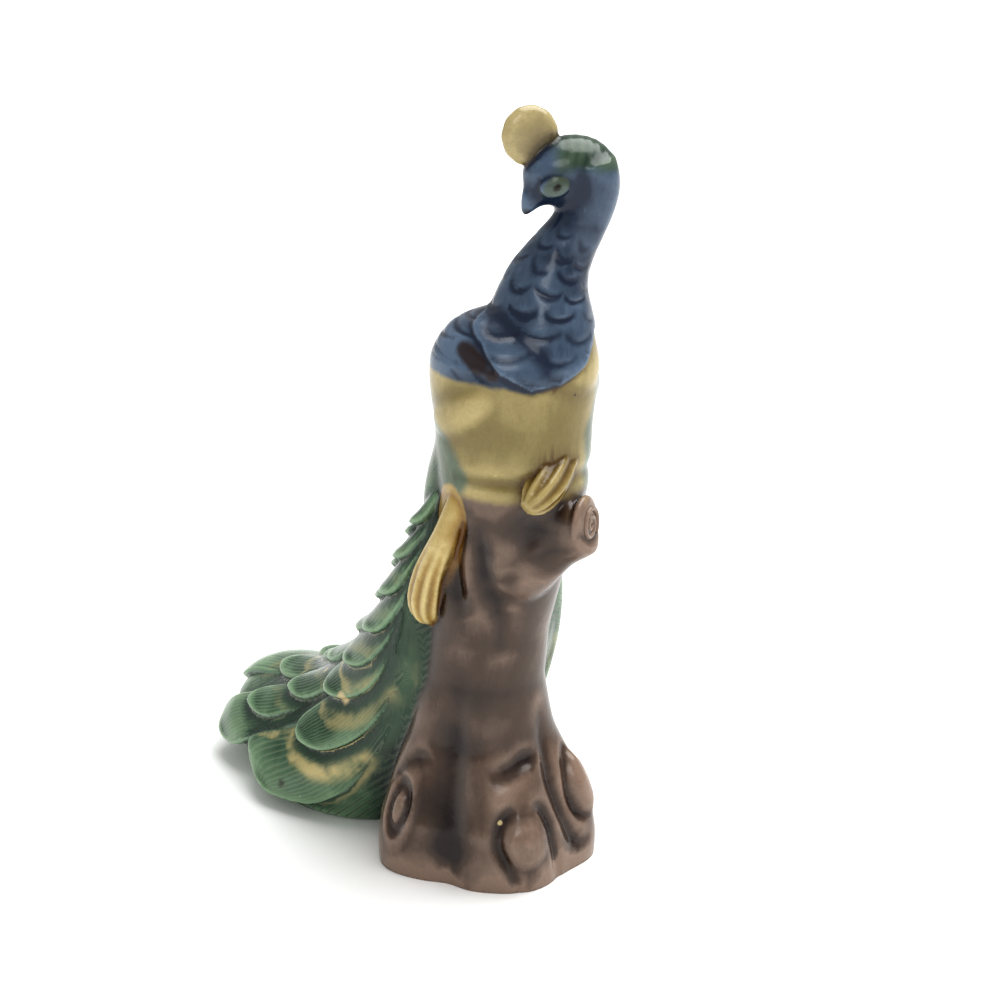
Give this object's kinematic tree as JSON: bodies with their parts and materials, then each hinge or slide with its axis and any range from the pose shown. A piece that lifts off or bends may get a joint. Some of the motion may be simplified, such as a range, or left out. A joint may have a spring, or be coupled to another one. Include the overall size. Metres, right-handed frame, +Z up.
{
  "type": "peacock figurine",
  "caption": "Standing ornament of a peacock perched on a tree stump, its train reaching the ground behind it. Rests on a flat underside.",
  "frame": {"origin": "on the flat underside, below the axis of the tree stump", "axes": "+Z up; the bird's breast faces -Y and its train trails towards +Y; its left side is +X"},
  "size_m": [0.0555, 0.1174, 0.1513],
  "materials": {
    "glaze": "gloss"
  },
  "bodies": {
    "root": {"peacock_figurine": "glaze"}
  },
  "joints": []
}
